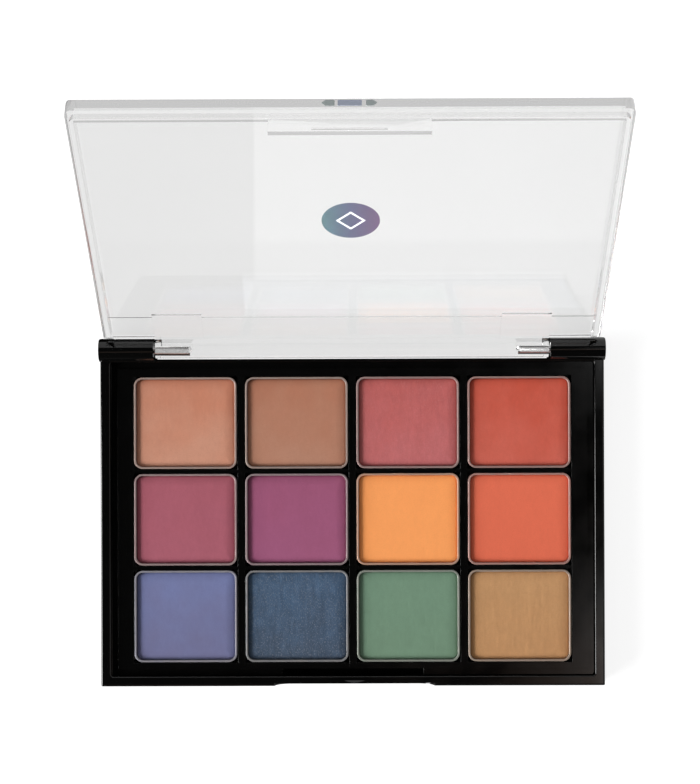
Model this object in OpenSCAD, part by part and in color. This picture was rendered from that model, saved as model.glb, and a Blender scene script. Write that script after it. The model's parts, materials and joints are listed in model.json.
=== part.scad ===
// Eyeshadow palette: twelve powder pans in a moulded tray, inside a shallow case
// whose clear lid turns on two short steel pins. Millimetres, +Z up, +Y to the hinge.
// The origin is the centre of the case's footprint, on the surface it lies on.

/* [Pans] */
// Width of one pan, left to right
pan_w = 31.6; // [24:0.2:36]
// Depth of one pan, front to back
pan_d = 28.2; // [22:0.2:34]
// Height of one pan, from its floor to its rim
pan_h = 4.2; // [3.4:0.1:6]
// Corner radius of a pan
pan_corner_r = 2.6; // [1.6:0.1:5]
// Thickness of a pan's wall
pan_wall_t = 0.6; // [0.3:0.05:0.8]
// Thickness of a pan's floor
pan_floor_t = 0.4; // [0.2:0.05:0.8]
// How far the pressed powder lies below the rim
powder_drop = 0.8; // [0.1:0.05:1.2]
// Space between two pans, left to right
pan_gap_x = 2.7; // [1.6:0.1:5]
// Space between two pans, front to back
pan_gap_y = 1.6; // [1.2:0.1:5]
// Width of the adhesive pad under a pan
pad_w = 22; // [10:1:23]
// Depth of the adhesive pad under a pan
pad_d = 18; // [10:1:20]
// Thickness of the adhesive pad
pad_t = 0.2; // [0.1:0.05:0.4]

/* [Tray] */
// Deck between the outer pans and the side borders
side_margin = 7.25; // [6:0.25:12]
// Deck between the front pans and the front border
front_margin = 4.3; // [4:0.1:10]
// Deck between the back pans and the back wall
back_margin = 4.6; // [3.6:0.1:10]
// Thickness of the tray under the pans
tray_floor_t = 1.2; // [0.8:0.1:2]
// Thickness of the tray's outer walls over its hollow underside
tray_wall_t = 1.2; // [0.8:0.1:1.6]
// How far the pan rims stand above the deck
pan_proud = 0.2; // [0:0.05:0.5]
// Width of the lowered strip that the lid's lip sits over
seat_w = 2.1; // [1.9:0.1:2.6]
// How far that strip lies below the deck
seat_drop = 0.6; // [0.2:0.1:1.2]

/* [Case] */
// Thickness of the floor of the case
floor_t = 1.2; // [0.8:0.1:2.5]
// Width of the side and front borders
border_w = 3; // [2:0.1:5]
// Height of the borders above the deck
border_rise = 1.4; // [1:0.1:3]
// Thickness of the wall along the hinge
back_wall_t = 0.95; // [0.7:0.05:1.5]
// Radius of the case's outer corners and top edges
case_edge_r = 0.6; // [0.4:0.1:1.6]
// Plan radius of the corners of the case's opening
opening_r = 0.8; // [0.4:0.1:1.6]
// Rounding of the opening's top edge
opening_edge_r = 0.3; // [0.1:0.05:0.6]
// Width of each hinge ear
ear_w = 16.8; // [10:0.2:24]
// Width of the finger notch in the front
notch_w = 49.4; // [30:0.2:70]
// Depth of the finger notch
notch_d = 0.92; // [0.4:0.02:1.2]
// How far the notch's middle lies right of the case's middle
notch_offset = 0.5; // [-3:0.1:3]
// Height of the bottom of the notch
notch_z = 3; // [2:0.25:5]
// Width of the thumbnail scoop behind the notch
scoop_w = 7.5; // [4:0.5:12]
// Depth of the thumbnail scoop, front to back
scoop_d = 0.85; // [0.5:0.05:1.1]

/* [Hinge] */
// Outer radius of the hinge ears
hinge_r = 3.5; // [3.2:0.1:5]
// Radius of the lid's barrel
barrel_r = 2.6; // [2:0.1:2.9]
// Gap between the lid's barrel and the back wall
barrel_gap = 0.25; // [0.2:0.05:0.5]
// Diameter of the hinge pins
pin_dia = 2.3; // [1:0.1:2.4]
// Running clearance around a pin in the lid's barrel
pin_play = 0.05; // [0.02:0.01:0.1]
// How far the left pin reaches in past its ear
pin_reach_left = 10.7; // [6:0.1:15]
// How far the right pin reaches in past its ear
pin_reach_right = 9.4; // [6:0.1:15]
// How far the outer end of a pin lies inside its ear
pin_recess = 0.4; // [0.1:0.1:2]
// Side gap between the ears and the lid's barrel
ear_gap = 0.5; // [0.2:0.1:1]
// Angle by which the lid stands open
lid_open = 127.5; // [0:0.1:140]

/* [Lid] */
// Height of the closed lid above the borders
lid_rise = 4.5; // [3.6:0.1:8]
// Thickness of the lid's plate
lid_plate_t = 2.1; // [1:0.1:2.4]
// Thickness of the lid's side and front walls
lid_wall_t = 2.5; // [2:0.1:2.6]
// How far the side walls slope back from the hinge, from the plate to the lip
wall_end_slope = 5.5; // [4:0.1:8]
// How far the lid's shoulder laps over the borders
lid_lap = 0.9; // [0.4:0.1:1.6]
// Plan radius of the lid's corners
lid_corner_r = 2; // [1:0.1:2.4]
// Radius of the lid's top edges
lid_edge_r = 0.5; // [0.2:0.1:0.9]
// Gap between the lid's back wall and the ears
lid_back_gap = 0.4; // [0.3:0.05:0.8]
// Gap between the lid's lip and the borders
lip_gap = 0.3; // [0.2:0.05:0.5]
// Gap between the closed lid and what it sits over
seat_gap = 0.1; // [0.05:0.05:0.2]
// Gap between the lid's lip and the strip below it
lip_lift = 0.2; // [0.1:0.05:0.5]
// Width of the latch tongue
tongue_w = 43; // [20:1:60]
// Thickness of the latch tongue
tongue_t = 1.3; // [0.8:0.1:1.4]
// How far the tongue stands back from the lip
tongue_set = 0.3; // [0.2:0.05:0.5]
// Clearance all round the tongue in its slot
tongue_gap = 0.3; // [0.2:0.05:0.5]
// Width of the latch bead on the tongue
bead_w = 20; // [6:1:30]
// Radius of the latch bead
bead_r = 0.5; // [0.3:0.05:0.7]
// How far the latch bead stands out of the tongue
bead_proud = 0.2; // [0.1:0.05:0.2]
// Reach of the web that joins the plate to the barrel
web_reach = 4.4; // [3:0.1:4.6]
// Reach of the slope from the lid's back edge down to the barrel
back_reach = 4.2; // [3.8:0.1:4.6]
// Width of the rib at each end of the barrel that stops the lid against the back wall
stop_w = 1.6; // [1:0.2:4]
// Reach of the thickened band along the hinge
band_d = 10.1; // [6:0.1:16]
// Extra thickness of that band
band_t = 0.2; // [0.1:0.05:1]
// Width of the raised pad over each hinge pin
knuckle_w = 15; // [9:0.5:22]
// Reach of the raised pads
knuckle_d = 11.5; // [6:0.5:16]
// Extra thickness of the raised pads
knuckle_t = 0.5; // [0.3:0.1:1.6]
// Width of the oval print on the lid
roundel_w = 16.6; // [8:0.2:40]
// Height of the oval print on the lid
roundel_d = 14.4; // [8:0.2:40]
// Thickness of the print
roundel_t = 0.15; // [0.1:0.05:0.3]
// How far the print lies from the lid's middle, away from the hinge
roundel_offset = 2.4; // [-10:0.1:10]

/* [Hidden] */
$fn = 64;
cut = 1;

columns = 4;
rows = 3;
SHADES = [
    "peach", "brown", "rose", "brick",
    "berry", "purple", "orange", "coral",
    "periwinkle", "navy", "green", "gold"
];
SHADE_COLOURS = [
    "tan", "sienna", "indianred", "firebrick",
    "palevioletred", "purple", "orange", "tomato",
    "lightsteelblue", "midnightblue", "seagreen", "goldenrod"
];

// Heights
well_z = floor_t + tray_floor_t;
pan_z = well_z + pad_t;
rim_z = pan_z + pan_h;
deck_z = rim_z - pan_proud;
seat_z = deck_z - seat_drop;
border_z = deck_z + border_rise;
closed_z = border_z + lid_rise;

// Plan of the case
pans_w = columns * pan_w + (columns - 1) * pan_gap_x;
pans_d = rows * pan_d + (rows - 1) * pan_gap_y;
inside_w = pans_w + 2 * side_margin;
inside_d = front_margin + pans_d + back_margin;
case_w = inside_w + 2 * border_w;
hinge_run = barrel_gap + barrel_r + hinge_r;
case_d = border_w + inside_d + back_wall_t + hinge_run;
front_y = -case_d / 2;
inside_front_y = front_y + border_w;
inside_back_y = inside_front_y + inside_d;
back_wall_y = inside_back_y + back_wall_t;
ear_back_y = case_d / 2;
ear_in_x = case_w / 2 - ear_w;

// Pans in their wells
well_gap = 0.3;
powder_gap = 0.05;
pans_y = inside_front_y + front_margin + pans_d / 2;
pitch_x = pan_w + pan_gap_x;
pitch_y = pan_d + pan_gap_y;

// Tray
tray_gap = 0.1;
tray_w = inside_w - 2 * tray_gap;
tray_front_y = inside_front_y + tray_gap;
tray_back_y = inside_back_y - tray_gap;
relief_w = side_margin - well_gap - tray_gap - 2 * tray_wall_t;
slot_d = lip_gap + tongue_set + tongue_t + tongue_gap;

// Hinge
axis_y = ear_back_y - hinge_r;
axis_z = closed_z - hinge_r;
pin_r = pin_dia / 2;
pin_len = ear_w + min(pin_reach_left, pin_reach_right) - pin_recess;
pin_end_gap = 0.5;
barrel_w = 2 * (ear_in_x - ear_gap);

// Lid, in its own frame: the hinge axis is X, the closed lid reaches along -Y
lid_half_w = inside_w / 2 + lid_lap;
lid_front = axis_y - inside_front_y + lid_lap;
lid_back = hinge_r + lid_back_gap;
lid_top = hinge_r;
plate_z = lid_top - lid_plate_t;
shoulder_z = border_z + seat_gap - axis_z;
lip_z = seat_z + lip_lift - axis_z;
lip_half_w = inside_w / 2 - lip_gap;
lip_front = axis_y - inside_front_y - lip_gap;
lid_in_half_w = lid_half_w - lid_wall_t;
lid_in_front = lid_front - lid_wall_t;
web_turn = atan(plate_z / web_reach) - acos(barrel_r / norm([web_reach, plate_z]));
web_foot = barrel_r * [cos(web_turn), sin(web_turn)];
back_turn = atan(lid_top / back_reach) + acos(barrel_r / norm([back_reach, lid_top]));
back_foot = barrel_r * [cos(back_turn), sin(back_turn)];
plate_root = lid_back + lid_corner_r;
tongue_front = lip_front - tongue_set;
tongue_z = floor_t + tongue_gap - axis_z;
bead_z = tongue_z + 2 * bead_r;
roundel_y = -(lid_front + lid_back) / 2 - roundel_offset;

// Thumbnail scoop
scoop_r = (pow(scoop_w / 2, 2) + pow(scoop_d, 2)) / (2 * scoop_d);
scoop_wall = 0.2;
scoop_depth = 0.4;

// ---- shapes shared by several pieces ----

// Box between two corners, each given as [x, y, z]
module box(low, high) {
    translate(low) cube(high - low);
}

// Rectangle around the origin with round corners
module round_rect(w, d, r) {
    square([w - 2 * r, d], center = true);
    square([w, d - 2 * r], center = true);
    for (x = [-1, 1], y = [-1, 1])
        translate([x * (w / 2 - r), y * (d / 2 - r)]) circle(r);
}

// Profile that stands on its x axis, with round corners at its top
module top_round_rect(w, h, r) {
    translate([-w / 2, 0]) square([w, h - r]);
    translate([-w / 2 + r, 0]) square([w - 2 * r, h]);
    for (x = [-1, 1])
        translate([x * (w / 2 - r), h - r]) circle(r);
}

// Block on z = 0 whose upright corners and top edges are round
module soft_block(w, d, h, corner_r, edge_r) {
    intersection() {
        linear_extrude(h) round_rect(w, d, corner_r);
        translate([0, d / 2, 0]) rotate([90, 0, 0])
            linear_extrude(d) top_round_rect(w, h, edge_r);
        translate([-w / 2, 0, 0]) rotate([90, 0, 90])
            linear_extrude(w) top_round_rect(d, h, edge_r);
    }
}

// Cylinder along the hinge axis, from x0 to x1
module hinge_rod(r, x0, x1) {
    translate([x0, 0, 0]) rotate([0, 90, 0]) cylinder(r = r, h = x1 - x0);
}

// Copies its children to the place of each pan
module at_each_pan() {
    for (i = [0 : len(SHADES) - 1]) at_pan(i) children();
}

// Moves its children to the place of pan i, counted from the back left
module at_pan(i) {
    column = i % columns;
    row = floor(i / columns);
    translate([
        (column - (columns - 1) / 2) * pitch_x,
        pans_y + ((rows - 1) / 2 - row) * pitch_y,
        0
    ]) children();
}

// ---- case ----

module notch_cut() {
    notch_r = border_z - notch_z;
    translate([notch_offset, front_y + notch_d, border_z]) rotate([90, 0, 0])
        linear_extrude(notch_d + cut) {
            translate([-notch_w / 2 + notch_r, -notch_r]) square([notch_w - 2 * notch_r, notch_r + cut]);
            translate([-notch_w / 2, 0]) square([notch_w, cut]);
            for (x = [-1, 1])
                translate([x * (notch_w / 2 - notch_r), 0]) circle(notch_r);
        }
}

// Crescent cut whose floor slopes down towards the back
module scoop_cut() {
    scoop_y = front_y + notch_d + scoop_wall;
    translate([notch_offset, scoop_y, border_z])
        intersection() {
            translate([0, scoop_r, -cut]) cylinder(r = scoop_r, h = 2 * cut);
            translate([-scoop_w, 0, 0]) rotate([90, 0, 90]) linear_extrude(2 * scoop_w)
                polygon([[0, 0], [scoop_d, -scoop_depth], [scoop_d, cut], [0, cut]]);
        }
}

// Space inside the case, with upright round corners and a rounded top edge
module opening_cut() {
    translate([0, (inside_front_y + inside_back_y) / 2, 0]) {
        translate([0, 0, floor_t]) linear_extrude(closed_z) round_rect(inside_w, inside_d, opening_r);
        for (side = [-1, 1]) {
            side_x = inside_w / 2;
            side_y = inside_d / 2;
            mirror([side < 0 ? 1 : 0, 0, 0]) {
                translate([side_x, side_y - opening_r, border_z]) rotate([90, 0, 0])
                    linear_extrude(inside_d - 2 * opening_r) opening_lip(0);
                for (end = [-1, 1])
                    translate([side_x - opening_r, end * (side_y - opening_r), border_z])
                        rotate([0, 0, end < 0 ? -90 : 0]) rotate_extrude(angle = 90) opening_lip(opening_r);
            }
            rotate([0, 0, side * 90]) translate([side_y, side_x - opening_r, border_z]) rotate([90, 0, 0])
                linear_extrude(inside_w - 2 * opening_r) opening_lip(0);
        }
    }
}

// Profile of the cut that rounds the opening's top edge, which stands at the given x
module opening_lip(x) {
    translate([x, -opening_edge_r]) difference() {
        translate([-opening_edge_r, 0]) square([2 * opening_edge_r, opening_edge_r + cut]);
        translate([opening_edge_r, 0]) circle(opening_edge_r);
    }
}

// Plan of the right ear, round at its outer back corner
module ear_plan() {
    start_y = axis_y - hinge_r;
    translate([ear_in_x, start_y]) square([ear_w - case_edge_r, 2 * hinge_r]);
    translate([ear_in_x, start_y]) square([ear_w, 2 * hinge_r - case_edge_r]);
    translate([case_w / 2 - case_edge_r, ear_back_y - case_edge_r]) circle(case_edge_r);
}

module ear(side) {
    mirror([side < 0 ? 1 : 0, 0, 0]) {
        linear_extrude(axis_z) ear_plan();
        intersection() {
            linear_extrude(closed_z + cut) ear_plan();
            translate([0, axis_y, axis_z]) hinge_rod(hinge_r, ear_in_x, case_w / 2);
        }
    }
}

module base_shell() {
    block_d = back_wall_y - front_y;
    color("#101010") difference() {
        union() {
            intersection() {
                translate([0, front_y + block_d / 2 + case_edge_r, 0])
                    soft_block(case_w, block_d + 2 * case_edge_r, border_z, case_edge_r, case_edge_r);
                box([-case_w, front_y - cut, -cut], [case_w, back_wall_y, closed_z]);
            }
            for (side = [-1, 1]) ear(side);
        }
        opening_cut();
        notch_cut();
        scoop_cut();
        for (side = [-1, 1])
            translate([side * (case_w / 2 - ear_w / 2), axis_y, axis_z])
                hinge_rod(pin_r, -ear_w / 2 - cut, ear_w / 2 + cut);
    }
}

// ---- tray and what it holds ----

module pan_tray() {
    slot_w = tongue_w + 2 * tongue_gap;
    relief_x = tray_w / 2 - tray_wall_t - relief_w;
    color("#181818") difference() {
        union() {
            translate([0, (tray_front_y + tray_back_y) / 2, floor_t])
                linear_extrude(seat_z - floor_t)
                    round_rect(tray_w, tray_back_y - tray_front_y, opening_r - tray_gap);
            box([-inside_w / 2 + seat_w, inside_front_y + seat_w, floor_t],
                [inside_w / 2 - seat_w, inside_back_y - seat_w, deck_z]);
        }
        at_each_pan() translate([0, 0, well_z])
            linear_extrude(deck_z) square([pan_w + 2 * well_gap, pan_d + 2 * well_gap], center = true);
        box([-slot_w / 2, inside_front_y - cut, 0], [slot_w / 2, inside_front_y + slot_d, closed_z]);
        for (side = [-1, 1])
            translate([side * (relief_x + relief_w / 2), pans_y, 0])
                box([-relief_w / 2, -pans_d / 2, 0], [relief_w / 2, pans_d / 2, seat_z - tray_wall_t]);
    }
}

module pan_adhesive_pads() {
    color("white") at_each_pan() translate([-pad_w / 2, -pad_d / 2, well_z]) cube([pad_w, pad_d, pad_t]);
}

module pan(i) {
    in_r = pan_corner_r - pan_wall_t;
    color("silver") at_pan(i) translate([0, 0, pan_z]) difference() {
        linear_extrude(pan_h) round_rect(pan_w, pan_d, pan_corner_r);
        translate([0, 0, pan_floor_t])
            linear_extrude(pan_h) round_rect(pan_w - 2 * pan_wall_t, pan_d - 2 * pan_wall_t, in_r);
    }
}

module powder(i) {
    inset = pan_wall_t + powder_gap;
    color(SHADE_COLOURS[i]) at_pan(i) translate([0, 0, pan_z + pan_floor_t])
        linear_extrude(pan_h - pan_floor_t - powder_drop)
            round_rect(pan_w - 2 * inset, pan_d - 2 * inset, pan_corner_r - inset);
}

// ---- hinge pins ----

module hinge_pin(side, reach) {
    in_x = ear_in_x - reach;
    color("silver") translate([0, axis_y, axis_z]) mirror([side < 0 ? 1 : 0, 0, 0])
        hinge_rod(pin_r, in_x, in_x + pin_len);
}

// ---- lid ----

// Puts its children, drawn as the closed lid around its hinge axis, in the open pose
module on_hinge() {
    translate([0, axis_y, axis_z]) rotate([-lid_open, 0, 0]) children();
}

// Front and side walls, from z0 to z1; front is the distance from the hinge axis
module lid_walls(half_w, front, corner_r, z0, z1) {
    depth = front - lid_back;
    slope_end = lid_back + wall_end_slope;
    difference() {
        translate([0, -(front + lid_back) / 2, z0])
            linear_extrude(z1 - z0) round_rect(2 * half_w, depth, corner_r);
        box([-lid_in_half_w, -lid_in_front, z0 - cut], [lid_in_half_w, cut, z1 + cut]);
        translate([-lid_half_w - cut, 0, 0]) rotate([90, 0, 90]) linear_extrude(2 * (lid_half_w + cut))
            polygon([
                [-lid_back, plate_z], [-slope_end, lip_z], [-slope_end, lip_z - cut],
                [cut, lip_z - cut], [cut, plate_z]
            ]);
    }
}

module lid_plate() {
    lid_d = lid_front - lid_back;
    intersection() {
        translate([0, -(lid_front + lid_back) / 2, shoulder_z])
            soft_block(2 * lid_half_w, lid_d, lid_top - shoulder_z, lid_corner_r, lid_edge_r);
        box([-lid_half_w, -lid_front, plate_z], [lid_half_w, -lid_back, lid_top]);
    }
}

// Barrel, joined to the plate by a web in front and a slope behind
module lid_barrel() {
    half = barrel_w / 2;
    hinge_rod(barrel_r, -half, half);
    translate([-half, 0, 0]) rotate([90, 0, 90]) linear_extrude(barrel_w)
        polygon([
            [0, 0], [-web_foot[0], web_foot[1]], [-web_reach, plate_z], [-plate_root, plate_z],
            [-plate_root, lid_top], [-back_reach, lid_top], [-back_foot[0], back_foot[1]]
        ]);
    stop_rib(-half, -half + stop_w);
    stop_rib(half - stop_w, half);
}

// Rounded heel, from x0 to x1, that stops the open lid against the back wall
module stop_rib(x0, x1) {
    box([x0, -plate_root, plate_z], [x1, 0, lid_top]);
    intersection() {
        hinge_rod(hinge_r, x0, x1);
        box([x0, 0, 0], [x1, hinge_r + cut, hinge_r + cut]);
    }
}

module pin_bore(side, reach) {
    bore_r = pin_r + pin_play;
    bore_x = ear_in_x - reach - pin_end_gap;
    mirror([side < 0 ? 1 : 0, 0, 0]) {
        hinge_rod(bore_r, bore_x, barrel_w / 2 + cut);
        translate([bore_x - bore_r / 2, 0, 0]) rotate([0, 90, 0]) cylinder(r1 = 0, r2 = bore_r, h = bore_r / 2);
    }
}

module latch_tongue() {
    half = tongue_w / 2;
    box([-half, -tongue_front, tongue_z], [half, -tongue_front + tongue_t, shoulder_z]);
    intersection() {
        translate([0, -tongue_front + bead_r - bead_proud, bead_z]) hinge_rod(bead_r, -bead_w / 2, bead_w / 2);
        box([-half, -tongue_front - bead_proud, tongue_z], [half, -tongue_front + tongue_t, shoulder_z]);
    }
}

// Thicker plastic on the inside of the plate, along the hinge and over each pin
module hinge_band() {
    box([-lid_in_half_w, -lid_back - band_d, plate_z - band_t], [lid_in_half_w, -lid_back, plate_z]);
    for (side = [-1, 1])
        translate([side * (barrel_w - knuckle_w) / 2, 0, 0])
            box([-knuckle_w / 2, -lid_back - knuckle_d, plate_z - knuckle_t], [knuckle_w / 2, -lid_back, plate_z]);
}

module lid() {
    color([0.85, 0.88, 0.9, 0.4]) on_hinge() difference() {
        union() {
            lid_plate();
            lid_walls(lid_half_w, lid_front, lid_corner_r, shoulder_z, plate_z);
            lid_walls(lip_half_w, lip_front, lid_corner_r, lip_z, shoulder_z);
            lid_barrel();
            latch_tongue();
            hinge_band();
        }
        pin_bore(-1, pin_reach_left);
        pin_bore(1, pin_reach_right);
    }
}

module lid_roundel() {
    step = 360 / $fn;
    color("teal") on_hinge() translate([0, roundel_y, lid_top]) linear_extrude(roundel_t)
        polygon([for (a = [0 : step : 360 - step]) [cos(a) * roundel_w / 2, sin(a) * roundel_d / 2]]);
}

base_shell();
pan_tray();
pan_adhesive_pads();
for (i = [0 : len(SHADES) - 1]) {
    pan(i);
    powder(i);
}
lid();
lid_roundel();
hinge_pin(-1, pin_reach_left);  // hinge_pin_left
hinge_pin(1, pin_reach_right);  // hinge_pin_right
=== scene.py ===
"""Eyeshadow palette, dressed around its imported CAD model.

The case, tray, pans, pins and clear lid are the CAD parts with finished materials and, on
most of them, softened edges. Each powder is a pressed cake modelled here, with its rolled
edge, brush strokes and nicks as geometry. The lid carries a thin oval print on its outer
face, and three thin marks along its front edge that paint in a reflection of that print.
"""
import json
import math
from typing import NamedTuple

import bmesh
import bpy
import numpy as np
from mathutils import Matrix, Vector


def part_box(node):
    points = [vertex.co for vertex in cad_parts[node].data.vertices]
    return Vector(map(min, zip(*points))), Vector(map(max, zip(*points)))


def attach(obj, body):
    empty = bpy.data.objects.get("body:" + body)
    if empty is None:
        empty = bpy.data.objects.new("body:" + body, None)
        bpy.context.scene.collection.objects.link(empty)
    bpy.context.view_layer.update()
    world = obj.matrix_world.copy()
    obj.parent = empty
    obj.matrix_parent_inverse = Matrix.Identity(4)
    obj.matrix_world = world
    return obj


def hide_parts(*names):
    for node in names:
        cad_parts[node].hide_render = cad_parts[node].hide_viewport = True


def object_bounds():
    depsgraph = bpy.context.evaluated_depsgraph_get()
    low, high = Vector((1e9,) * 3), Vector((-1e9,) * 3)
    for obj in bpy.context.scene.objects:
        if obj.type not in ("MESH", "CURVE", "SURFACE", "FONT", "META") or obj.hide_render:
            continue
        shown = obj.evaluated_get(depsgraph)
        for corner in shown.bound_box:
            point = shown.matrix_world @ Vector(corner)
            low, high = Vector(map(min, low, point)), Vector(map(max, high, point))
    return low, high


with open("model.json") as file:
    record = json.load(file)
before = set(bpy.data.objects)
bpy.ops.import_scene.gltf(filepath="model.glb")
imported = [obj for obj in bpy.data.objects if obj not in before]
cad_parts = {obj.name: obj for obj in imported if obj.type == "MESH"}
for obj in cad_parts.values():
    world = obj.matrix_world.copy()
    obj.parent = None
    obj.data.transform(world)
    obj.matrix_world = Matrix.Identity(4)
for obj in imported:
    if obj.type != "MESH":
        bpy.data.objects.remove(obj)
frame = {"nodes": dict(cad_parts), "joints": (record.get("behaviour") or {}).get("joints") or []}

CAD_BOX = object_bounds()
MM = 0.001
NODES = frame["nodes"]
HINGE = frame["joints"][0]
HINGE_POS = Vector(HINGE["pos_m"])
LID_OPEN = math.radians(HINGE["range_deg"][1])
LID_TURN = Matrix.Rotation(-LID_OPEN, 4, "X")  # takes the closed lid's directions to those at rest

# Camera, straight above the case: millimetres, degrees, pixels, and metres for the clipping
CAMERA_POS = (2.36, 35.84, 571.3)
CAMERA_TILT = (0.108, 0.303, -0.195)
FOCAL_PX = 1831.9
IMAGE_HEIGHT_PX = 784
SENSOR_MM = 36.0
CAMERA_CLIP = (0.01, 50)

# Lamp low on the left, aimed at the origin: millimetres and watts
KEY_PLACE = (-1340, -490, 430)
KEY_SIZE = (1000, 1100)
KEY_WATTS = 60.5


class Look(NamedTuple):
    """The colour of a powder and the way it is pressed."""

    colour: tuple  # sRGB, 0 to 255
    strokes: float  # depth of the brush strokes, in millimetres
    mottle: float  # depth of the broad unevenness, in millimetres
    nicks: int
    rough: float  # how uneven the tone is, 1 for a usual powder
    fade: float  # share by which the colour deepens from front to back; below 0 it pales
    streak: float  # share by which streaks change the tone
    glitter: float  # strength of the mica flakes
    roll: float  # how far the edge rolls off, 1 for the full drop


SHADES = {
    "peach": Look((190, 131, 107), 0.004, 0.010, 9, 1.0, 0.17, 0.006, 0.0, 0.9),
    "brown": Look((171, 119, 96), 0.004, 0.006, 2, 0.7, 0.15, 0.004, 0.0, 0.8),
    "rose": Look((182, 97, 96), 0.006, 0.012, 26, 1.6, 0.15, 0.03, 0.10, 0.8),
    "brick": Look((196, 90, 73), 0.004, 0.008, 3, 1.0, 0.24, 0.006, 0.0, 0.7),
    "berry": Look((161, 88, 102), 0.004, 0.008, 4, 1.1, 0.04, 0.006, 0.0, 1.0),
    "purple": Look((151, 83, 114), 0.004, 0.008, 4, 1.0, 0.05, 0.006, 0.0, 0.9),
    "orange": Look((246, 158, 92), 0.003, 0.006, 2, 0.5, 0.02, 0.003, 0.0, 0.55),
    "coral": Look((223, 108, 80), 0.003, 0.006, 2, 0.6, -0.02, 0.003, 0.0, 0.55),
    "periwinkle": Look((109, 113, 151), 0.004, 0.006, 2, 0.8, -0.11, 0.012, 0.0, 0.9),
    "navy": Look((65, 83, 105), 0.022, 0.016, 30, 2.1, -0.17, 0.13, 0.3, 1.0),
    "green": Look((110, 139, 116), 0.006, 0.016, 8, 1.1, -0.02, 0.012, 0.03, 0.6),
    "gold": Look((188, 141, 97), 0.014, 0.010, 18, 1.3, -0.04, 0.018, 0.06, 0.65),
}
FADE_WEIGHTS = (0.25, 0.85, 1.15)  # how much of the fade red, green and blue take
FADE_WANDER = (-0.35, 0.35)  # how far blotches shift it, as a share of the pan's depth
PALEST = 0.97  # no powder reflects more than this
# Layers of uneven tone: feature size in millimetres, stretch, and share of the tone
TONE_LAYERS = (
    (4.5, (0.8, 1.5, 1), 0.026),
    (1.4, (0.7, 1.5, 1), 0.028),
    (0.5, (0.8, 1.8, 1), 0.014),
)
# Layers of upright streaks: feature size in millimetres, detail and stretch
STREAK_LAYERS = ((0.5, 2, (0.5, 5, 1)), (1.6, 3, (0.8, 2.2, 1)))
SPECK_SHADE = 0.84  # brightness of the grain, as a share of the shade's
FLAKE_MIX = (0.3, 0.7)  # how much of a flake's colour is white, and how much the shade
POWDER_ROUGHNESS = (0.85, 0.95)
FLAKE_ROUGHNESS = (0.85, 0.45)

# Pressed powder, in millimetres
CAKE_SEED = 11
CAKE_STEP = 0.3
CAKE_CORNER_R = 1.95
CAKE_ROLL_WIDTH = 3.2
CAKE_ROLL_DROP = 0.45
CAKE_EDGE_DROP = 0.2
CAKE_EDGE_WIDTH = 0.35
CAKE_TOP = 0.03  # the cake's middle lies this far below the CAD solid's top
MOTTLE_CELLS = (9, 8)
# Fine and broad brush strokes: grid steps across, cells along, and share of the shade's depth
STROKE_LAYERS = ((2, 5, 1.0), (4, 3, 0.6))
NICK_REACH = 0.9  # share of the half width and depth that nicks keep to
NICK_LENGTH = (0.5, 1.8)
NICK_WIDTH = 0.22
NICK_DEPTH = (0.02, 0.05)
NICK_LYING = 0.3  # share of the nicks that run from left to right

# Noise: the parts of a texture's range of values that matter, from most of it to its peaks
NOISE_SPAN = (0.3, 0.7)
BLOTCH_SPAN = (0.25, 0.75)
MARK_SPAN = (0.35, 0.7)
RUB_SPAN = (0.55, 0.8)
SPECK_SPAN = (0.52, 0.75)
FLAKE_SPAN = (0.56, 0.72)

# Finishes of the CAD parts
PLASTIC_IOR = 1.49
BLACK_TONES = (0.0016, 0.0024)
CASE_ROUGHNESS = 0.05
TRAY_ROUGHNESS = 0.07
MARK_ROUGHNESS = 0.08  # what handling marks add
PAN_METAL = (0.4, 0.375, 0.34)
PAN_DUST = (0.45, 0.75)  # how far dust covers the metal
PAN_DUST_MIX = (0.1, 0.5)  # how much of its colour is white, and how much the shade
PAN_METALLIC = (0.6, 0.3)  # bare and dusty
PAN_ROUGHNESS = (0.34, 0.5)
STEEL_TONES = ((0.5, 0.5, 0.51), (0.68, 0.67, 0.66))
STEEL_ROUGHNESS = (0.18, 0.38)
TAPE_TONES = ((0.72, 0.71, 0.66), (0.82, 0.81, 0.77))
TAPE_ROUGHNESS = (0.7, 0.9)

# Softened edges of the CAD parts: width in millimetres, and segments
TRAY_EDGE = (0.045, 2)
LID_EDGE = (0.25, 3)
PIN_EDGE = (0.1, 2)
PAN_EDGE = (0.13, 3)
EDGE_ANGLE = 35  # edges sharper than this are softened, in degrees
FLAT_ANGLE = 0.5  # faces that meet at less are merged, in degrees
WELD_MM = 0.002

# Clear lid: tints, two of them painted light, and where they lie, in millimetres at rest
LID_TINT = (0.897, 0.897, 0.895)
LID_TINT_CHANGE = 0.012
LID_ROUGHNESS = (0.0, 0.035)
# Painted light: the latch tongue is left untinted, so that it shows paler than the plate
TONGUE_PAINTED_LIGHT_TINT = (1.0, 1.0, 1.0)
WALLS_BELOW_AXIS = 2.9  # the closed lid's walls end this far below the hinge's axis
TONGUE_TINT_SOFT = 0.1
# Painted light: a band tinted paler than the plate, so that the plate shows brighter there
PAINTED_BAND_TINT = (0.982, 0.988, 0.992)
PAINTED_BAND_LOW_Z = (19.6, 20.2)
PAINTED_BAND_HIGH_Z = (31.3, 33.5)
PAINTED_BAND_LEFT_X = (-32.6, -31.6)
PAINTED_BAND_RIGHT_X = (80.2, 82.2)  # level with the floor
PAINTED_BAND_SLANT = 0.592  # how far that end moves left for each millimetre up
SPENT_DEPTH = 1.5  # light that has met more glossy faces than this goes straight on
SPENT_TINT = (0.97, 0.97, 0.97)
SHADOW_TINT = (0.9, 0.91, 0.92)

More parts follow.
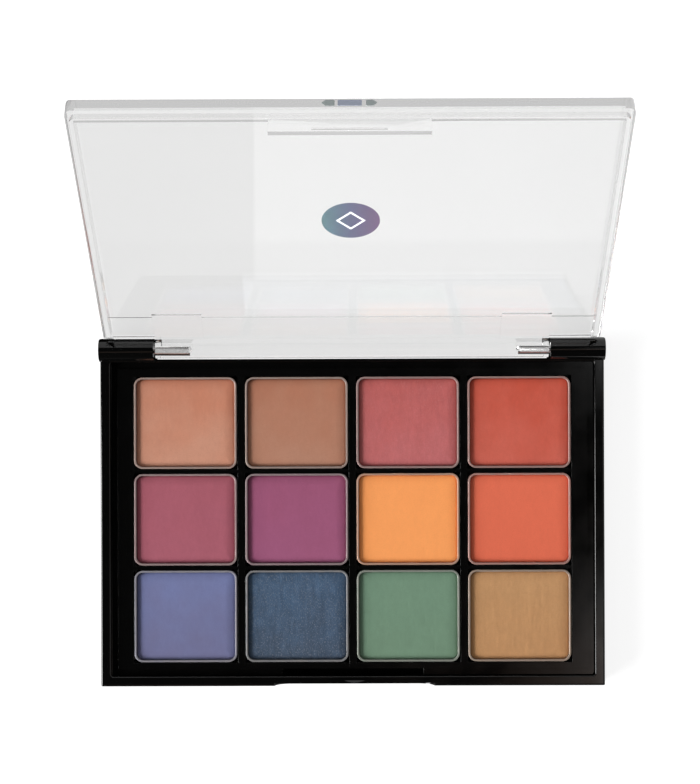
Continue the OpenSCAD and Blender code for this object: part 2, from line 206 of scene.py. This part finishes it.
# Oval print on the lid, in millimetres, with its inks in sRGB
PRINT_W = 16.6
PRINT_D = 14.4
PRINT_GAP = 0.02
PRINT_T = 0.12
PRINT_STEPS = 72
PRINT_LOOPS = ((1.0, 0.0), (1.0, 0.6), (0.975, 1.0))  # shares of its size and thickness
ROUNDEL_HALF_T = 0.075  # half the thickness of the CAD part that it replaces
LOZENGE_W = 7.6
LOZENGE_D = 6.6
LOZENGE_LINE = 0.12  # width of its line along either axis, as a share of its size
LOZENGE_INK = (0.85, 0.86, 0.88)  # linear
PRINT_TEAL = (48, 92, 98)
PRINT_SLATE = (52, 56, 92)
PRINT_PLUM = (76, 40, 84)
PRINT_FLECK = (0.92, 1.08)  # how uneven the ink is
INK_ROUGHNESS = 0.35

# Painted reflection of the oval print in the lid's front edge, drawn as three marks
# Marks along the lid's front edge, in millimetres: from, to, and the cut of the two ends
LID_REACH = 101.4  # from the hinge axis to that edge
PAINTED_REFLECTION_RUNS = ((-7.4, -4.0, 1.0, 0.2), (-3.2, 3.2, 0.2, 0.2), (4.3, 7.2, 0.2, 1.0))
PAINTED_REFLECTION_MIDDLE = 3.6  # the middle mark lies within this
PAINTED_REFLECTION_HEIGHTS = (0.5, 2.7)
PAINTED_REFLECTION_T = 0.05
PAINTED_REFLECTION_BLUE = (190, 198, 218)
PAINTED_REFLECTION_GREY = (186, 196, 196)
PAINTED_REFLECTION_FLECK = (0.85, 1.15)

# Floor, in metres: pairs are for glass and then for the camera, or near and then far
FLOOR_HALF = 4.0
FLOOR_LIT = (0.1, 0.3)  # share of the light on it that it scatters
FLOOR_OWN = (0.80, 0.85)  # brightness of its own
FLOOR_FADE = (0.4, 0.9)  # how far from the origin it turns plain white
FLOOR_BOUNCE = (0.8, 0.8, 0.8)
FLOOR_GLOSS_LEFT = (0.0, 0.26)  # what gloss sees of it, near the case and far in front of it
FLOOR_GLOSS_RIGHT = (0.95, 1.6)
FLOOR_GLOSS_SPENT = 0.6  # what light sees of it after bouncing about inside the lid
FLOOR_FAR_Y = (-0.165, -0.185)  # where near turns into far
FLOOR_STEP_X = -0.0328  # where the dark left side ends, level with the origin
FLOOR_STEP_SLOPE = 0.0554  # how far that edge moves right for each metre back
FLOOR_STEP_SOFT = 0.001
# Painted shadow: gloss sees the floor darken near the case, out to this width
FLOOR_PAINTED_SHADOW_WIDTH = 10 * MM  # gloss sees the floor darken this near to the case

# Room, by how far a direction leans right and back, from -1 to 1
ROOM_FILL = 0.3
BACK_WALL = ((0.38, 0.44), 0.85)  # where it sets in and is full, and its brightness
RIGHT_WALL = ((0.5, 0.7), 0.6)
# Bright panes: right from, to and softness, back from, to and softness, and brightness
PANES = (
    ((0.1217, 0.1251, 0.0006), (-0.1388, -0.1237, 0.003), 1.9),
    ((0.129, 0.2, 0.002), (-0.17, -0.1, 0.01), 1.2),
    ((0.129, 0.2, 0.002), (0.006, 0.1, 0.006), 1.2),
)
GLOW_LEAN = (0.57, 0.82)  # the glow lies this much to the right and to the front
GLOW_RISE = (0.165, 0.19)
GLOW_FALL = (0.22, 0.3)
GLOW_LEVEL = 0.5
GLOW_COLOUR = (1.0, 0.7, 0.56)


# ---- node helpers ----

RISE = (0.0, 1.0)
FALL = (1.0, 0.0)


def metres(millimetres):
    """The same values in metres."""
    return tuple(value * MM for value in millimetres)


def white_mix(colour, white, share):
    """The given share of a colour on top of the given amount of white."""
    return tuple(white + share * c for c in colour)


def linear(srgb):
    """Linear colour of an sRGB triple given as 0 to 255."""
    def channel(value):
        value /= 255
        return value / 12.92 if value <= 0.04045 else ((value + 0.055) / 1.055) ** 2.4
    return tuple(channel(value) for value in srgb)


class Nodes:
    """Short ways to add nodes to a node tree."""

    def __init__(self, tree):
        self.tree = tree

    def add(self, kind, inputs=None, **settings):
        """Adds a node, and links or sets its inputs, which are given by name or number."""
        made = self.tree.nodes.new(kind)
        for key, value in settings.items():
            setattr(made, key, value)
        for socket, value in (inputs or {}).items():
            if isinstance(value, bpy.types.NodeSocket):
                self.tree.links.new(value, made.inputs[socket])
            else:
                made.inputs[socket].default_value = value
        return made

    def math(self, operation, *values):
        return self.add("ShaderNodeMath", dict(enumerate(values)), operation=operation).outputs[0]

    def ramp(self, value, to, over=RISE, **settings):
        """Maps the value from the range "over" to the range "to" and clamps it."""
        ends = {"From Min": over[0], "From Max": over[1], "To Min": to[0], "To Max": to[1]}
        return self.add("ShaderNodeMapRange", {"Value": value, **ends}, **settings).outputs[0]

    def step(self, value, to, over):
        """A ramp that starts and ends smoothly."""
        return self.ramp(value, to, over, interpolation_type="SMOOTHSTEP")

    def within(self, value, low, high, soft):
        """1 between low and high, 0 elsewhere, with soft ends."""
        rise = self.step(value, RISE, (low - soft, low + soft))
        return self.math("MULTIPLY", rise, self.step(value, FALL, (high - soft, high + soft)))

    def multiply(self, colour, factor):
        made = self.add("ShaderNodeVectorMath", {0: colour, 1: factor}, operation="MULTIPLY")
        return made.outputs[0]

    def mix_value(self, fac, one, two):
        return self.add("ShaderNodeMix", {0: fac, 2: one, 3: two}).outputs[0]

    def mix_colour(self, fac, one, two):
        one, two = (
            c if isinstance(c, bpy.types.NodeSocket) else (*c[:3], 1) for c in (one, two)
        )
        return self.add("ShaderNodeMix", {0: fac, 6: one, 7: two}, data_type="RGBA").outputs[2]

    def mix_shader(self, fac, one, two):
        return self.add("ShaderNodeMixShader", {0: fac, 1: one, 2: two}).outputs[0]


class Shader(Nodes):
    """A material with a Principled shader, textured in the object's own space."""

    def __init__(self, name, **sockets):
        self.material = bpy.data.materials.new(name)
        self.material.use_nodes = True
        super().__init__(self.material.node_tree)
        self.bsdf = self.tree.nodes["Principled BSDF"]
        self.output = self.tree.nodes["Material Output"]
        self.place = self.add("ShaderNodeTexCoord").outputs["Object"]
        for socket, value in sockets.items():
            self.bsdf.inputs[socket.replace("_", " ")].default_value = value

    def axes(self):
        """The place's x, y and z."""
        return self.add("ShaderNodeSeparateXYZ", {0: self.place}).outputs

    def noise(self, size_mm, detail=2.0, stretch=(1, 1, 1)):
        """Noise of about the given feature size, stretched along the axes."""
        scale = tuple(1 / factor for factor in stretch)
        spot = self.add("ShaderNodeMapping", {"Vector": self.place, "Scale": scale}).outputs[0]
        look = {"Vector": spot, "Scale": 1 / (size_mm * MM), "Detail": detail, "Roughness": 0.55}
        return self.add("ShaderNodeTexNoise", look).outputs["Fac"]

    def uneven(self, colour, noise, change):
        """The colour, made up to the given share paler or deeper by the noise."""
        return self.multiply(colour, self.ramp(noise, (1 - change, 1 + change), NOISE_SPAN))

    def bump(self, height, strength, depth_mm):
        inputs = {"Height": height, "Strength": strength, "Distance": depth_mm * MM}
        self.link(self.add("ShaderNodeBump", inputs).outputs[0], "Normal")

    def link(self, source, socket):
        """Links to a socket of the Principled shader."""
        self.tree.links.new(source, self.bsdf.inputs[socket])

    def link_surface(self, shader):
        self.tree.links.new(shader, self.output.inputs["Surface"])


# ---- materials ----

def black_plastic(name, roughness):
    """Black injection moulding: near-mirror polish with faint waves and handling marks."""
    s = Shader(name, Specular_IOR_Level=0.5, IOR=PLASTIC_IOR)
    darkest, palest = ((tone,) * 3 for tone in BLACK_TONES)
    s.link(s.mix_colour(s.noise(6, detail=3), darkest, palest), "Base Color")
    marked = (roughness, roughness + MARK_ROUGHNESS)
    s.link(s.ramp(s.noise(9, detail=5), marked, MARK_SPAN), "Roughness")
    s.bump(s.noise(7, detail=1), strength=0.15, depth_mm=0.02)
    return s.material


def pan_metal(shade, colour):
    """Bright pressed metal under a thin, nearly even film of the shade's dust."""
    s = Shader(f"pan_metal_{shade}")
    dust = s.ramp(s.noise(2.5, detail=3), PAN_DUST, NOISE_SPAN)
    s.link(s.mix_colour(dust, PAN_METAL, white_mix(colour, *PAN_DUST_MIX)), "Base Color")
    s.link(s.ramp(dust, PAN_METALLIC), "Metallic")
    s.link(s.ramp(dust, PAN_ROUGHNESS), "Roughness")
    s.bump(s.noise(0.8, detail=2), strength=0.08, depth_mm=0.02)
    return s.material


def powder(shade, look, low, high):
    """Matte pressed pigment: fine grain, soft blotches, a slow fade and, in some shades, mica."""
    s = Shader(f"powder_{shade}", Specular_IOR_Level=0.12, Sheen_Weight=0.05, Sheen_Roughness=0.6)
    body = linear(look.colour)
    deep = tuple(c * (1 - look.fade * w) for c, w in zip(body, FADE_WEIGHTS))
    pale = tuple(min(c * (1 + look.fade * w), PALEST) for c, w in zip(body, FADE_WEIGHTS))
    back = s.ramp(s.axes()[1], RISE, (low.y, high.y))
    wander = s.ramp(s.noise(9, detail=2), FADE_WANDER, BLOTCH_SPAN)
    tone = s.mix_colour(s.math("ADD", back, wander), pale, deep)
    for size, stretch, change in TONE_LAYERS:
        tone = s.uneven(tone, s.noise(size, stretch=stretch), change * look.rough)
    for size, detail, stretch in STREAK_LAYERS:
        tone = s.uneven(tone, s.noise(size, detail, stretch), look.streak)
    speck = s.ramp(s.noise(0.22, detail=2), RISE, SPECK_SPAN)
    tone = s.mix_colour(speck, tone, tuple(c * SPECK_SHADE for c in body))
    if look.glitter:
        mica = s.noise(0.3, detail=1, stretch=(0.7, 1.8, 1))
        flake = s.ramp(mica, (0.0, look.glitter), FLAKE_SPAN)
        tone = s.mix_colour(flake, tone, white_mix(body, *FLAKE_MIX))
        s.link(s.ramp(flake, FLAKE_ROUGHNESS), "Roughness")
    else:
        s.link(s.ramp(speck, POWDER_ROUGHNESS), "Roughness")
    s.link(tone, "Base Color")
    s.bump(s.noise(0.18, detail=3), strength=0.35, depth_mm=0.03)
    return s.material


def painted_bright_band(s):
    """Mask of painted light: a paler band across the plate in front of its hinge, on the right."""
    x, _, z = s.axes()
    right_end = s.math("ADD", x, s.math("MULTIPLY", z, PAINTED_BAND_SLANT))
    mask = s.ramp(z, RISE, metres(PAINTED_BAND_LOW_Z))
    for side in (
        s.ramp(z, FALL, metres(PAINTED_BAND_HIGH_Z)),
        s.ramp(x, RISE, metres(PAINTED_BAND_LEFT_X)),
        s.ramp(right_end, FALL, metres(PAINTED_BAND_RIGHT_X)),
    ):
        mask = s.math("MULTIPLY", mask, side)
    return mask


def tongue_mask(s):
    """Mask of the latch tongue: what reaches below the lid's walls when the lid is closed."""
    below = LID_TURN @ Vector((0, 0, -1))
    depth = s.add("ShaderNodeVectorMath", {0: s.place, 1: below}, operation="DOT_PRODUCT")
    walls_end = HINGE_POS.dot(below) + WALLS_BELOW_AXIS * MM
    return s.ramp(depth.outputs["Value"], RISE, (walls_end, walls_end + TONGUE_TINT_SOFT * MM))


def clear_plastic():
    """Clear styrene. Lamps, and light that has already bounced about inside, pass straight on."""
    s = Shader("clear_styrene", IOR=PLASTIC_IOR, Transmission_Weight=1.0)
    paler = tuple(c + LID_TINT_CHANGE for c in LID_TINT)
    tint = s.mix_colour(s.noise(30, detail=1), LID_TINT, paler)
    # Painted light: a paler band in front of the hinge, so that the plate shows brighter there
    tint = s.mix_colour(painted_bright_band(s), tint, PAINTED_BAND_TINT)
    # Painted light: the latch tongue is left untinted, so that it shows paler than the plate
    s.link(s.mix_colour(tongue_mask(s), tint, TONGUE_PAINTED_LIGHT_TINT), "Base Color")
    rubs = s.noise(3, detail=6, stretch=(1, 0.3, 0.3))
    s.link(s.ramp(rubs, LID_ROUGHNESS, RUB_SPAN), "Roughness")
    s.bump(s.noise(14, detail=1), strength=0.02, depth_mm=0.03)
    path = s.add("ShaderNodeLightPath").outputs
    spent = s.math("GREATER_THAN", path["Glossy Depth"], SPENT_DEPTH)
    straight, shadow = (
        s.add("ShaderNodeBsdfTransparent", {"Color": (*tint, 1)}).outputs[0]
        for tint in (SPENT_TINT, SHADOW_TINT)
    )
    body = s.mix_shader(spent, s.bsdf.outputs[0], straight)
    s.link_surface(s.mix_shader(path["Is Shadow Ray"], body, shadow))
    return s.material


def pin_steel():
    """Drawn steel with fine lines round the pin."""
    s = Shader("pin_steel", Metallic=1.0)
    clouds = s.noise(0.8, detail=3, stretch=(6, 1, 1))
    s.link(s.mix_colour(clouds, *STEEL_TONES), "Base Color")
    s.link(s.ramp(s.noise(0.5, detail=3, stretch=(12, 1, 1)), STEEL_ROUGHNESS), "Roughness")
    s.bump(s.noise(0.3, detail=2, stretch=(20, 1, 1)), strength=0.2, depth_mm=0.01)
    return s.material


def pad_tape():
    """White foam tape."""
    s = Shader("pad_tape")
    s.link(s.mix_colour(s.noise(2, detail=4), *TAPE_TONES), "Base Color")
    s.link(s.ramp(s.noise(1, detail=4), TAPE_ROUGHNESS), "Roughness")
    s.bump(s.noise(0.4, detail=3), strength=0.3, depth_mm=0.03)
    return s.material


def oval_ink():
    """Print that fades from teal over slate to plum, around a plain white lozenge."""
    s = Shader("oval_ink", Roughness=INK_ROUGHNESS)
    x, y, _ = s.axes()
    half = PRINT_W / 2 * MM
    fade = s.add("ShaderNodeValToRGB", {0: s.ramp(x, RISE, (-half, half))})
    stops = fade.color_ramp.elements
    stops[0].color = (*linear(PRINT_TEAL), 1)
    stops[1].color = (*linear(PRINT_PLUM), 1)
    stops.new(0.5).color = (*linear(PRINT_SLATE), 1)
    shaded = s.multiply(fade.outputs[0], s.ramp(s.noise(0.4, detail=3), PRINT_FLECK))

    out_x = s.math("ABSOLUTE", s.math("DIVIDE", x, LOZENGE_W / 2 * MM))
    out_y = s.math("ABSOLUTE", s.math("DIVIDE", y, LOZENGE_D / 2 * MM))
    line = s.math("COMPARE", s.math("ADD", out_x, out_y), 1.0, LOZENGE_LINE)
    s.link(s.mix_colour(line, shaded, LOZENGE_INK), "Base Color")
    return s.material


def edge_reflection_paint():
    """Painted reflection on the lid's front edge, pale: blue in the middle, grey at the ends."""
    s = Shader("edge_reflection_paint", Roughness=INK_ROUGHNESS)
    ends = s.math("GREATER_THAN", s.math("ABSOLUTE", s.axes()[0]), PAINTED_REFLECTION_MIDDLE * MM)
    tone = s.mix_colour(ends, linear(PAINTED_REFLECTION_BLUE), linear(PAINTED_REFLECTION_GREY))
    s.link(s.multiply(tone, s.ramp(s.noise(0.4, detail=3), PAINTED_REFLECTION_FLECK)), "Base Color")
    return s.material


# ---- CAD parts ----

def dress(name, material, edge=None, merge_flats=True):
    """Gives a CAD part its finish and, where asked, softened edges."""
    part = NODES[name]
    part.data.materials.clear()
    part.data.materials.append(material)
    if edge is None:
        return
    weld = part.modifiers.new("weld", "WELD")
    weld.merge_threshold = WELD_MM * MM
    if merge_flats:
        flats = part.modifiers.new("flats", "DECIMATE")
        flats.decimate_type = "DISSOLVE"
        flats.angle_limit = math.radians(FLAT_ANGLE)
    width_mm, segments = edge
    bevel = part.modifiers.new("edges", "BEVEL")
    bevel.use_clamp_overlap = not merge_flats
    bevel.width = width_mm * MM
    bevel.segments = segments
    bevel.limit_method = "ANGLE"
    bevel.angle_limit = math.radians(EDGE_ANGLE)
    bevel.harden_normals = True


# ---- powders ----

def smooth_field(rng, shape, cells):
    """Smooth random field from -1 to 1 with the given number of cells each way."""
    grid = rng.uniform(-1, 1, (cells[0] + 3, cells[1] + 3))

    def weights(count, n):
        at = np.linspace(0, n, count)
        low = np.minimum(at.astype(int), n - 1)
        t = at - low
        return low, t * t * (3 - 2 * t)

    rows, row_t = weights(shape[0], cells[0])
    cols, col_t = weights(shape[1], cells[1])
    top = grid[rows][:, cols] * (1 - col_t) + grid[rows][:, cols + 1] * col_t
    low = grid[rows + 1][:, cols] * (1 - col_t) + grid[rows + 1][:, cols + 1] * col_t
    return top * (1 - row_t[:, None]) + low * row_t[:, None]


def rounded_grid(half_w, half_d):
    """Grid of points over a rectangle, drawn in at the corners so that they are round."""
    columns = int(2 * half_w / CAKE_STEP) + 1
    rows = int(2 * half_d / CAKE_STEP) + 1
    x, y = np.meshgrid(
        np.linspace(-half_w, half_w, columns), np.linspace(-half_d, half_d, rows), indexing="ij"
    )
    p = np.clip(np.abs(x) - (half_w - CAKE_CORNER_R), 0, None) / CAKE_CORNER_R
    q = np.clip(np.abs(y) - (half_d - CAKE_CORNER_R), 0, None) / CAKE_CORNER_R
    x = np.sign(x) * (np.abs(x) - p * CAKE_CORNER_R * (1 - np.sqrt(1 - q * q / 2)))
    y = np.sign(y) * (np.abs(y) - q * CAKE_CORNER_R * (1 - np.sqrt(1 - p * p / 2)))
    return x, y


def cake_heights(rng, x, y, half_w, half_d, look):
    """Height of the cake's surface above its nominal top, in millimetres."""
    edge = np.minimum(half_w - np.abs(x), half_d - np.abs(y))
    corner_x = np.abs(x) - (half_w - CAKE_CORNER_R)
    corner_y = np.abs(y) - (half_d - CAKE_CORNER_R)
    in_corner = (corner_x > 0) & (corner_y > 0)
    edge = np.where(in_corner, CAKE_CORNER_R - np.hypot(corner_x, corner_y), edge)
    edge = np.maximum(edge, 0)
    roll = np.clip(1 - edge / CAKE_ROLL_WIDTH, 0, 1) ** 2
    height = -CAKE_TOP - look.roll * CAKE_ROLL_DROP * roll
    height -= CAKE_EDGE_DROP * np.exp(-edge / CAKE_EDGE_WIDTH)
    height += look.mottle * smooth_field(rng, x.shape, MOTTLE_CELLS)
    for steps, cells, depth in STROKE_LAYERS:
        height += look.strokes * depth * smooth_field(rng, x.shape, (x.shape[0] // steps, cells))
    for _ in range(look.nicks):
        at_x = rng.uniform(-NICK_REACH, NICK_REACH) * half_w
        at_y = rng.uniform(-NICK_REACH, NICK_REACH) * half_d
        length = rng.uniform(*NICK_LENGTH)
        lying = rng.random() < NICK_LYING
        wide, tall = (length, NICK_WIDTH) if lying else (NICK_WIDTH, length)
        spot = ((x - at_x) / wide) ** 2 + ((y - at_y) / tall) ** 2
        height -= rng.uniform(*NICK_DEPTH) * np.exp(-spot)
    return height


def closed_mesh(name, x, y, z, floor_z):
    """Mesh of a surface given as a grid in millimetres, closed by walls and a flat floor."""
    columns, rows = x.shape
    points = list(zip(x.ravel(), y.ravel(), z.ravel()))
    ids = np.arange(columns * rows).reshape(columns, rows)
    faces = [
        (ids[i, j], ids[i + 1, j], ids[i + 1, j + 1], ids[i, j + 1])
        for i in range(columns - 1)
        for j in range(rows - 1)
    ]
    rim = [*ids[:, 0], *ids[-1, 1:], *ids[-2::-1, -1], *ids[0, -2:0:-1]]
    foot = [len(points) + k for k in range(len(rim))]
    points += [(points[k][0], points[k][1], floor_z) for k in rim]
    for k in range(len(rim)):
        after = (k + 1) % len(rim)
        faces.append((rim[after], rim[k], foot[k], foot[after]))
    faces.append(tuple(reversed(foot)))
    mesh = bpy.data.meshes.new(name)
    mesh.from_pydata([Vector(p) * MM for p in points], [], [tuple(map(int, f)) for f in faces])
    mesh.polygons.foreach_set("use_smooth", [len(p.vertices) == 4 for p in mesh.polygons])
    mesh.update()
    return mesh


def powder_cake(index, shade, look):
    """Closed pressed cake that fills its pan from floor to crown."""
    low, high = (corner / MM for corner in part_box(f"powder_{shade}"))
    half_w, half_d = (high.x - low.x) / 2, (high.y - low.y) / 2
    x, y = rounded_grid(half_w, half_d)
    rng = np.random.default_rng(index + CAKE_SEED)
    z = high.z + cake_heights(rng, x, y, half_w, half_d, look)
    mid_x, mid_y = (low.x + high.x) / 2, (low.y + high.y) / 2
    mesh = closed_mesh(f"{shade}_cake", mid_x + x, mid_y + y, z, low.z)
    cake = bpy.data.objects.new(f"{shade}_cake", mesh)
    bpy.context.scene.collection.objects.link(cake)
    cake.data.materials.append(powder(shade, look, low * MM, high * MM))
    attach(cake, "base")
    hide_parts(f"powder_{shade}")


# ---- print on the lid, and its painted reflection in the lid's edge ----

def oval_print():
    """Thin oval disc that lies on the lid's outer face, a hair off the plastic."""
    low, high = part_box("lid_roundel")
    centre = (low + high) / 2
    outward = LID_TURN @ Vector((0, 0, 1))
    angles = [2 * math.pi * k / PRINT_STEPS for k in range(PRINT_STEPS)]
    bm = bmesh.new()
    loops = [
        [
            bm.verts.new((
                math.cos(a) * PRINT_W / 2 * scale * MM,
                math.sin(a) * PRINT_D / 2 * scale * MM,
                PRINT_T * height * MM,
            ))
            for a in angles
        ]
        for scale, height in PRINT_LOOPS
    ]
    for lower, upper in zip(loops, loops[1:]):
        for k in range(PRINT_STEPS):
            after = (k + 1) % PRINT_STEPS
            bm.faces.new((lower[k], lower[after], upper[after], upper[k]))
    bm.faces.new(loops[-1])
    bm.faces.new(list(reversed(loops[0])))
    mesh = bpy.data.meshes.new("oval_print")
    bm.to_mesh(mesh)
    bm.free()
    disc = bpy.data.objects.new("oval_print", mesh)
    bpy.context.scene.collection.objects.link(disc)
    lift = outward * (PRINT_GAP - ROUNDEL_HALF_T) * MM
    disc.matrix_world = Matrix.Translation(centre + lift) @ LID_TURN
    disc.data.materials.append(oval_ink())
    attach(disc, "lid")
    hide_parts("lid_roundel")


def painted_edge_reflection():
    """Three thin marks along the lid's front edge, a painted reflection of the oval print."""
    bm = bmesh.new()
    low, high = PAINTED_REFLECTION_HEIGHTS
    for start, end, first, last in PAINTED_REFLECTION_RUNS:
        outline = (
            (start, low + first), (start + first, low), (end - last, low), (end, low + last),
            (end, high - last), (end - last, high), (start + first, high), (start, high - first),
        )
        near, far = (
            [bm.verts.new(Vector((x, y, z)) * MM) for x, z in outline] for y in (0, -PAINTED_REFLECTION_T)
        )
        bm.faces.new(near)
        bm.faces.new(list(reversed(far)))
        for k in range(len(outline)):
            after = (k + 1) % len(outline)
            bm.faces.new((near[after], near[k], far[k], far[after]))
    bm.normal_update()
    mesh = bpy.data.meshes.new("painted_edge_reflection")
    bm.to_mesh(mesh)
    bm.free()
    marks = bpy.data.objects.new("painted_edge_reflection", mesh)
    bpy.context.scene.collection.objects.link(marks)
    edge = Vector((0, -(LID_REACH + PRINT_GAP) * MM, 0))
    marks.matrix_world = Matrix.Translation(HINGE_POS) @ LID_TURN @ Matrix.Translation(edge)
    marks.data.materials.append(edge_reflection_paint())
    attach(marks, "lid")


# ---- stage ----

def add_camera():
    """Camera straight above, turned by fractions of a degree."""
    camera = bpy.data.cameras.new("camera")
    camera.sensor_width = SENSOR_MM
    camera.lens = FOCAL_PX * SENSOR_MM / IMAGE_HEIGHT_PX
    camera.clip_start, camera.clip_end = CAMERA_CLIP
    eye = bpy.data.objects.new("camera", camera)
    bpy.context.scene.collection.objects.link(eye)
    eye.location = Vector(CAMERA_POS) * MM
    eye.rotation_euler = [math.radians(a) for a in CAMERA_TILT]
    bpy.context.scene.camera = eye


def add_key_lamp():
    """Broad soft lamp, low on the left and a little to the front."""
    light = bpy.data.lights.new("key", "AREA")
    light.shape = "RECTANGLE"
    light.size, light.size_y = (s * MM for s in KEY_SIZE)
    light.energy = KEY_WATTS
    lamp = bpy.data.objects.new("key", light)
    bpy.context.scene.collection.objects.link(lamp)
    lamp.location = Vector(KEY_PLACE) * MM
    lamp.rotation_euler = (-Vector(KEY_PLACE)).normalized().to_track_quat("-Z", "Y").to_euler()


def floor_gloss(s, path):
    """What gloss sees of the floor: dark left, pale right, and a black painted shadow by the case.
    """
    x, y, _ = s.axes()
    side = s.math("SUBTRACT", x, s.math("MULTIPLY", y, FLOOR_STEP_SLOPE))
    left = s.ramp(y, FLOOR_GLOSS_LEFT, FLOOR_FAR_Y)
    right = s.ramp(y, FLOOR_GLOSS_RIGHT, FLOOR_FAR_Y)
    step = (FLOOR_STEP_X - FLOOR_STEP_SOFT, FLOOR_STEP_X + FLOOR_STEP_SOFT)
    open_floor = s.mix_value(s.ramp(side, RISE, step), left, right)
    beyond_side = s.math("SUBTRACT", s.math("ABSOLUTE", x), CAD_BOX[1][0])
    beyond_end = s.math("SUBTRACT", s.math("ABSOLUTE", y), -CAD_BOX[0][1])
    away = s.math("MAXIMUM", beyond_side, beyond_end)
    # Painted shadow: the floor turns black for gloss near the case
    shade = s.ramp(away, RISE, (0.0, FLOOR_PAINTED_SHADOW_WIDTH))
    spent = s.math("GREATER_THAN", path["Glossy Depth"], SPENT_DEPTH)
    return s.mix_value(spent, s.math("MULTIPLY", open_floor, shade), FLOOR_GLOSS_SPENT)


def floor_paper():
    """White paper. What the camera, glass and gloss see of it is mostly its own brightness."""
    s = Shader("floor_paper")
    s.tree.nodes.remove(s.bsdf)
    path = s.add("ShaderNodeLightPath").outputs
    white = (1, 1, 1, 1)
    distance = s.add("ShaderNodeVectorMath", {0: s.place}, operation="LENGTH").outputs["Value"]
    far_glow = s.ramp(distance, (FLOOR_OWN[0], 1.0), FLOOR_FADE)
    glow = s.math("MAXIMUM", far_glow, s.ramp(path["Is Camera Ray"], FLOOR_OWN))
    own = s.add("ShaderNodeEmission", {"Color": white, "Strength": glow})
    lit = s.add("ShaderNodeBsdfDiffuse", {"Color": s.ramp(path["Is Camera Ray"], FLOOR_LIT)})
    seen = s.add("ShaderNodeAddShader", {0: lit.outputs[0], 1: own.outputs[0]})
    bounce = s.add("ShaderNodeBsdfDiffuse", {"Color": (*FLOOR_BOUNCE, 1)})
    gloss = s.add("ShaderNodeEmission", {"Color": white, "Strength": floor_gloss(s, path)})
    direct = s.math("MAXIMUM", path["Is Camera Ray"], path["Is Transmission Ray"])
    other = s.mix_shader(path["Is Glossy Ray"], bounce.outputs[0], gloss.outputs[0])
    s.link_surface(s.mix_shader(direct, other, seen.outputs[0]))
    return s.material


def add_floor():
    """Large square sheet under the case."""
    corners = [(x * FLOOR_HALF, y * FLOOR_HALF, 0) for x, y in ((-1, -1), (1, -1), (1, 1), (-1, 1))]
    mesh = bpy.data.meshes.new("floor")
    mesh.from_pydata(corners, [], [(0, 1, 2, 3)])
    floor = bpy.data.objects.new("floor", mesh)
    bpy.context.scene.collection.objects.link(floor)
    floor.data.materials.append(floor_paper())


def room_brightness(n, right, back):
    """Room that gloss meets: a wall behind, a dimmer one on the right, and bright panes."""
    walls = [
        n.step(lean, (0.0, level), over)
        for lean, (over, level) in ((back, BACK_WALL), (right, RIGHT_WALL))
    ]
    room = n.math("MAXIMUM", *walls)
    for across, along, level in PANES:
        pane = n.math("MULTIPLY", n.within(right, *across), n.within(back, *along))
        room = n.math("MAXIMUM", room, n.math("MULTIPLY", pane, level))
    return room


def glow_brightness(n, right, back):
    """Glow that gloss meets to the front right."""
    lean_right, lean_front = GLOW_LEAN
    corner = n.math(
        "SUBTRACT", n.math("MULTIPLY", right, lean_right), n.math("MULTIPLY", back, lean_front)
    )
    rise = n.step(corner, (0.0, GLOW_LEVEL), GLOW_RISE)
    return n.math("MULTIPLY", rise, n.step(corner, FALL, GLOW_FALL))


def add_world():
    """White backdrop for what is seen, soft fill for what is lit, and a dark room for gloss."""
    world = bpy.data.worlds.new("studio")
    bpy.context.scene.world = world
    world.use_nodes = True
    world.node_tree.nodes.clear()
    n = Nodes(world.node_tree)
    path = n.add("ShaderNodeLightPath").outputs
    towards = n.add("ShaderNodeTexCoord").outputs["Generated"]
    right, back, _ = n.add("ShaderNodeSeparateXYZ", {0: towards}).outputs

    def background(strength, colour=(1, 1, 1)):
        inputs = {"Color": (*colour, 1), "Strength": strength}
        return n.add("ShaderNodeBackground", inputs).outputs[0]

    room = background(room_brightness(n, right, back))
    glow = background(glow_brightness(n, right, back), GLOW_COLOUR)
    gloss = n.add("ShaderNodeAddShader", {0: room, 1: glow}).outputs[0]
    seen = n.mix_shader(path["Is Glossy Ray"], background(ROOM_FILL), gloss)
    for ray in ("Is Transmission Ray", "Is Camera Ray"):
        seen = n.mix_shader(path[ray], seen, background(1.0))
    n.add("ShaderNodeOutputWorld", {"Surface": seen})


def build():
    """Dresses the CAD parts, adds powders, print and painted reflection, and sets the stage."""
    bpy.context.scene.view_settings.view_transform = "Standard"
    add_camera()
    dress("base_shell", black_plastic("case_black", CASE_ROUGHNESS))
    dress("pan_tray", black_plastic("tray_black", TRAY_ROUGHNESS), TRAY_EDGE)
    dress("pan_adhesive_pads", pad_tape())
    dress("lid", clear_plastic(), LID_EDGE, merge_flats=False)
    steel = pin_steel()
    for side in ("left", "right"):
        dress(f"hinge_pin_{side}", steel, PIN_EDGE)
    for index, (shade, look) in enumerate(SHADES.items()):
        dress(f"pan_{shade}", pan_metal(shade, linear(look.colour)), PAN_EDGE)
        powder_cake(index, shade, look)
    oval_print()
    painted_edge_reflection()
    add_floor()
    add_world()
    add_key_lamp()


build()
